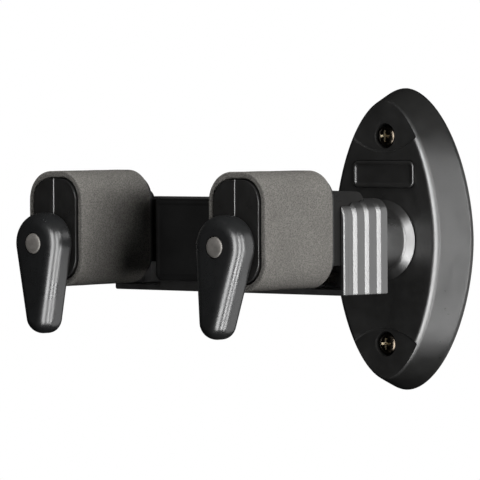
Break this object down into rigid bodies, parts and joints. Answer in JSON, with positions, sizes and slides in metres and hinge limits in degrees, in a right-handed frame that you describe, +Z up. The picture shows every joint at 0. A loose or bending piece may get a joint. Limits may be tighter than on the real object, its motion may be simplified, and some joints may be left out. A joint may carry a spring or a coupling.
{
  "type": "wall guitar hanger",
  "caption": "Wall hanger for a guitar: oval wall plate, swivelling yoke with two foam-sleeved arms that sink under load and turn locking fingers across the neck gap.",
  "frame": {"origin": "centre of the wall plate on the wall plane, on the swivel axis", "axes": "+Y points into the wall, so the hanger stands out towards -Y; +Z is up; +X is to the right of someone facing the wall"},
  "size_m": [0.0962, 0.1483, 0.0964],
  "materials": {
    "black_plastic": "satin moulded",
    "housing_plastic": "satin moulded",
    "foam_rubber": "fine open-grained foam",
    "pad_rubber": "matte",
    "brushed_steel": "brushed",
    "dark_steel": "black oxide, oiled",
    "spring_steel": "bright drawn",
    "brass": "machined",
    "nylon": "natural"
  },
  "bodies": {
    "wall_mount": {"wall_plate_cover": "black_plastic", "back_plate": "brushed_steel", "nameplate_blank": "black_plastic", "wall_screw_upper": "dark_steel", "wall_screw_lower": "dark_steel", "swivel_neck": "black_plastic", "swivel_bolt": "brushed_steel", "thrust_washer": "nylon", "inner_washer": "brushed_steel", "swivel_lock_nut": "brushed_steel", "swivel_stop_pin": "brushed_steel"},
    "yoke_housing": {"housing_body": "housing_plastic", "front_cover": "housing_plastic", "cradle_pad": "pad_rubber", "guide_rod_left": "brushed_steel", "guide_rod_right": "brushed_steel", "return_spring_left": "spring_steel", "return_spring_right": "spring_steel", "left_rack": "brushed_steel", "right_rack": "brushed_steel", "housing_screw_left": "dark_steel", "housing_screw_right": "dark_steel"},
    "carriage": {"carriage_crossbar": "brushed_steel", "left_arm_inner_half": "black_plastic", "left_arm_outer_half": "black_plastic", "right_arm_inner_half": "black_plastic", "right_arm_outer_half": "black_plastic", "foam_sleeve_left": "foam_rubber", "foam_sleeve_right": "foam_rubber", "left_shaft_bush_front": "brass", "left_shaft_bush_rear": "brass", "right_shaft_bush_front": "brass", "right_shaft_bush_rear": "brass", "left_arm_screw_high": "brushed_steel", "left_arm_screw_low": "brushed_steel", "right_arm_screw_high": "brushed_steel", "right_arm_screw_low": "brushed_steel"},
    "finger_left": {"left_finger": "black_plastic", "left_finger_shaft": "brushed_steel", "left_pinion": "brass", "left_shaft_clip": "spring_steel"},
    "finger_right": {"right_finger": "black_plastic", "right_finger_shaft": "brushed_steel", "right_pinion": "brass", "right_shaft_clip": "spring_steel"}
  },
  "joints": [
    {"name": "yoke_swivel", "type": "hinge", "parent": "wall_mount", "child": "yoke_housing", "pos_m": [0, -0.0699, 0], "axis": [0, 1, 0], "range_deg": [-30, 30]},
    {"name": "carriage_slide", "type": "slide", "parent": "yoke_housing", "child": "carriage", "axis": [0, 0, -1], "range_m": [0, 0.007], "stiffness_N_per_m": 950, "springref_m": -0.003, "deforming": ["return_spring_left", "return_spring_right"]},
    {"name": "finger_left_turn", "type": "hinge", "parent": "carriage", "child": "finger_left", "pos_m": [-0.036, -0.1254, 0.00175], "axis": [0, -1, 0], "range_deg": [0, 90]},
    {"name": "finger_right_turn", "type": "hinge", "parent": "carriage", "child": "finger_right", "pos_m": [0.036, -0.1254, 0.00175], "axis": [0, 1, 0], "range_deg": [0, 82.5]}
  ],
  "couplings": [
    {"joint": "finger_left_turn", "follows": "carriage_slide", "rad_per_m": 224.39},
    {"joint": "finger_right_turn", "follows": "carriage_slide", "rad_per_m": 205.69}
  ]
}
